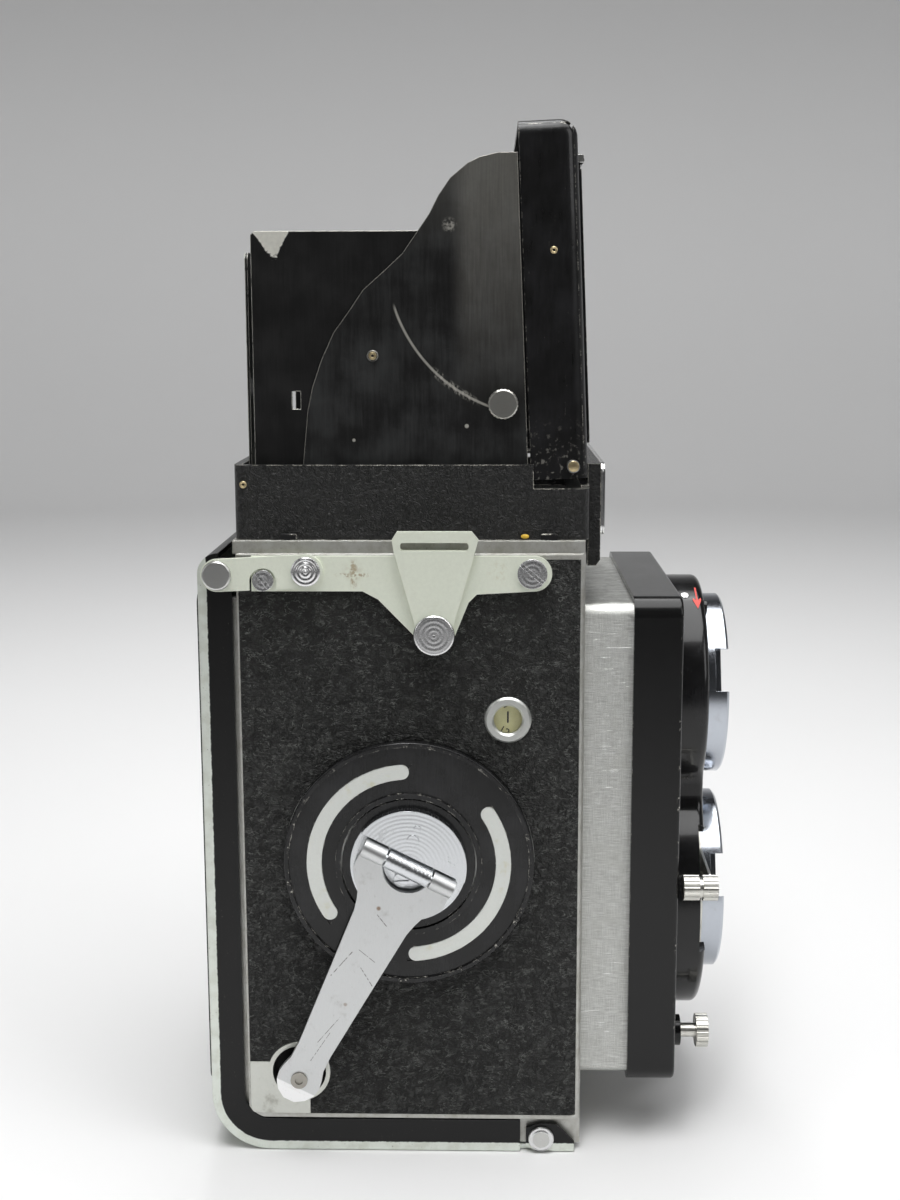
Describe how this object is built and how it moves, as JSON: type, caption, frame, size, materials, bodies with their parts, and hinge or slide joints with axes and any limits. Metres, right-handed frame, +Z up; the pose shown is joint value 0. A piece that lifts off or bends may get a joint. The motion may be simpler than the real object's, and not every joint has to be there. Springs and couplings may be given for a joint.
{
  "type": "twin lens reflex camera",
  "caption": "Twin lens reflex roll-film camera with its focusing hood open, a side winding crank and a racking lens standard.",
  "frame": {"origin": "mouth of the tripod socket on the bottom face", "axes": "+Z up through the hood, lenses face -Y, winding crank on the -X side"},
  "size_m": [0.093, 0.1076, 0.2064],
  "materials": {
    "casting": "satin",
    "cover": "satin",
    "leather": "grained",
    "nickel": "satin",
    "clear": "gloss",
    "dial": "satin",
    "wrinkle_black": "wrinkle paint",
    "frosted": "frosted",
    "silvered": "gloss",
    "plate_blank": "gloss",
    "alu": "brushed",
    "gloss_black": "gloss enamel",
    "inlay": "satin",
    "satin_black": "satin paint",
    "chrome": "polished",
    "steel": "satin",
    "sheet_black": "satin"
  },
  "bodies": {
    "body": {"body_casting": "casting", "side_covers": "cover", "body_leather": "leather", "knob_cup": "nickel", "counter_bezel": "nickel", "counter_glass": "clear", "counter_disc": "dial", "hood_base": "wrinkle_black", "ground_glass": "frosted", "mirror": "silvered", "nameplate": "plate_blank", "strap_plates": "nickel", "hinge_arms": "nickel", "door_pins": "nickel", "plate_fasteners": "nickel", "film_rollers": "nickel", "focus_scale": "alu", "crank_plate": "gloss_black", "plate_arcs": "inlay", "hood_lid": "wrinkle_black", "lid_pins": "nickel", "hood_pins": "nickel"},
    "door": {"back_door": "satin_black", "door_rims": "satin_black", "door_leather": "leather", "pressure_plate": "satin_black", "tripod_socket": "nickel"},
    "latch": {"door_latch": "satin_black"},
    "spool": {"takeup_spool": "satin_black"},
    "takeup_knob": {"takeup_pull_knob": "nickel"},
    "supply_knob": {"supply_pull_knob": "nickel"},
    "focus_knob": {"focus_knob": "gloss_black"},
    "hub": {"crank_base": "gloss_black", "crank_hub": "chrome"},
    "arm": {"crank_arm": "steel", "crank_knob": "chrome"},
    "standard": {"light_shroud": "alu", "front_panel": "gloss_black", "lens_housing": "gloss_black", "bayonet_ring_viewing": "chrome", "bayonet_ring_taking": "chrome", "viewing_lens_barrel": "satin_black", "taking_lens_barrel": "satin_black", "viewing_front_glass": "clear", "taking_front_glass": "clear", "rear_glasses": "clear", "shutter_blades": "steel", "shutter_case": "satin_black"},
    "speed": {"speed_lever": "nickel"},
    "aperture": {"aperture_lever": "nickel"},
    "release": {"release_button": "chrome"},
    "wall_crank": {"hood_sector_crank": "sheet_black", "hood_panel_crank": "sheet_black", "hood_knob": "chrome"},
    "wall_knob": {"hood_sector_knob": "sheet_black", "hood_panel_knob": "sheet_black"},
    "wall_rear": {"hood_rear_wall": "sheet_black"},
    "flap": {"finder_flap": "wrinkle_black"},
    "magnifier": {"magnifier_arm": "satin_black", "magnifier_glass": "clear"}
  },
  "joints": [
    {"name": "focus_turn", "type": "hinge", "parent": "body", "child": "focus_knob", "pos_m": [0.042, -0.01, 0.0622], "axis": [1, 0, 0], "range_deg": [0, 270]},
    {"name": "standard_rack", "type": "slide", "parent": "body", "child": "standard", "axis": [0, 1, 0], "range_m": [0, 0.007]},
    {"name": "crank_wind", "type": "hinge", "parent": "body", "child": "hub", "pos_m": [-0.04, -0.003, 0.0622], "axis": [1, 0, 0], "range_deg": [0, 360]},
    {"name": "crank_fold", "type": "hinge", "parent": "hub", "child": "arm", "pos_m": [-0.0432, -0.003, 0.0622], "axis": [0, 0.8948, 0.4464], "range_deg": [0, 180]},
    {"name": "release_press", "type": "slide", "parent": "standard", "child": "release", "axis": [0, 1, 0], "range_m": [0, 0.0022], "stiffness_N_per_m": 300},
    {"name": "speed_set", "type": "hinge", "parent": "standard", "child": "speed", "pos_m": [0, -0.064, 0.0459], "axis": [0, -1, 0], "range_deg": [-3, 22]},
    {"name": "aperture_set", "type": "hinge", "parent": "standard", "child": "aperture", "pos_m": [0, -0.064, 0.0459], "axis": [0, 1, 0], "range_deg": [-3, 22]},
    {"name": "takeup_pull", "type": "slide", "parent": "body", "child": "takeup_knob", "axis": [1, 0, 0], "range_m": [0, 0.004], "stiffness_N_per_m": 300},
    {"name": "supply_pull", "type": "slide", "parent": "body", "child": "supply_knob", "axis": [1, 0, 0], "range_m": [0, 0.004], "stiffness_N_per_m": 300},
    {"name": "spool_spin", "type": "hinge", "parent": "body", "child": "spool", "pos_m": [0, 0.0165, 0.09], "axis": [1, 0, 0], "continuous": true},
    {"name": "door_swing", "type": "hinge", "parent": "body", "child": "door", "pos_m": [0, 0.0338, 0.1204], "axis": [1, 0, 0], "range_deg": [0, 100]},
    {"name": "latch_swing", "type": "hinge", "parent": "body", "child": "latch", "pos_m": [0, -0.0298, 0.0029], "axis": [1, 0, 0], "range_deg": [0, 60]},
    {"name": "crank_side_wall", "type": "hinge", "parent": "body", "child": "wall_crank", "pos_m": [-0.0342, 0, 0.1392], "axis": [0, 1, 0], "range_deg": [0, 90]},
    {"name": "knob_side_wall", "type": "hinge", "parent": "body", "child": "wall_knob", "pos_m": [0.0342, 0, 0.137], "axis": [0, -1, 0], "range_deg": [0, 90]},
    {"name": "rear_wall", "type": "hinge", "parent": "body", "child": "wall_rear", "pos_m": [0, 0.028, 0.1347], "axis": [1, 0, 0], "range_deg": [0, 90]},
    {"name": "finder_flap_swing", "type": "hinge", "parent": "body", "child": "flap", "pos_m": [0, -0.03668, 0.19997], "axis": [-1, 0, 0], "range_deg": [0, 90]},
    {"name": "magnifier_swing", "type": "hinge", "parent": "body", "child": "magnifier", "pos_m": [0, -0.03007, 0.2013], "axis": [1, 0, 0], "range_deg": [0, 88]}
  ],
  "couplings": [
    {"joint": "focus_turn", "follows": "standard_rack", "rad_per_m": 673.2},
    {"joint": "crank_fold", "follows": "crank_wind", "ratio": 0.5}
  ]
}
